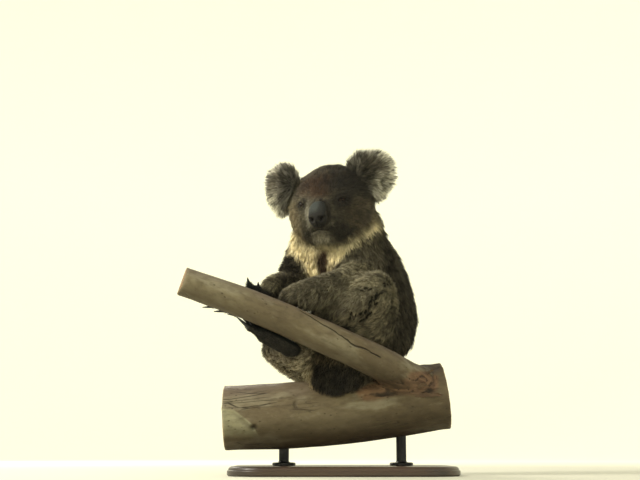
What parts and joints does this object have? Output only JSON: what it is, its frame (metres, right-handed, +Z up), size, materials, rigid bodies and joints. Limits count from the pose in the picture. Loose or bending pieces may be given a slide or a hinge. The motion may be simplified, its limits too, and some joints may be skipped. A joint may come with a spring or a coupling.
{
  "type": "koala on a gum tree perch",
  "caption": "Life-size still koala sitting on a cut limb, hugging a slanting bough, head turned to the viewer, on a low display stand.",
  "frame": {"origin": "middle of the whole part's box, on the underside of the stand's base", "axes": "+Z up, the viewer stands at -Y, +X to the viewer's right, the koala's left"},
  "size_m": [0.4832, 0.3244, 0.5823],
  "materials": {
    "grey_fur": "dense, matt, brownish grey fur",
    "cream_fur": "soft cream fur",
    "nose_skin": "bare, pebbled, faintly moist black skin",
    "claw": "smooth black horn",
    "eye": "wet, dark brown",
    "bark": "smooth gum bark with scars and loose strips",
    "stand_timber": "dark stained, satin lacquer",
    "stand_steel": "black, satin"
  },
  "bodies": {
    "root": {"claw_foot_left_2": "claw", "claw_foot_left_3": "claw", "claw_foot_left_4": "claw", "claw_foot_left_5": "claw", "claw_foot_right_2": "claw", "claw_foot_right_3": "claw", "claw_foot_right_4": "claw", "claw_foot_right_5": "claw", "claw_hand_left_1": "claw", "claw_hand_left_2": "claw", "claw_hand_left_3": "claw", "claw_hand_left_4": "claw", "claw_hand_left_5": "claw", "claw_hand_right_1": "claw", "claw_hand_right_2": "claw", "claw_hand_right_3": "claw", "claw_hand_right_4": "claw", "claw_hand_right_5": "claw", "ear_left": "grey_fur", "ear_right": "grey_fur", "eye_left": "eye", "eye_right": "eye", "foot_left": "grey_fur", "foot_right": "grey_fur", "forearm_left": "grey_fur", "forearm_right": "grey_fur", "hand_left": "grey_fur", "hand_right": "grey_fur", "head": "grey_fur", "neck": "cream_fur", "nose": "nose_skin", "perch_bough": "bark", "perch_limb": "bark", "shank_left": "grey_fur", "shank_right": "grey_fur", "stand_base": "stand_timber", "stand_rod_left": "stand_steel", "stand_rod_right": "stand_steel", "thigh_left": "grey_fur", "thigh_right": "grey_fur", "trunk": "grey_fur", "upper_arm_left": "grey_fur", "upper_arm_right": "grey_fur"}
  },
  "joints": []
}
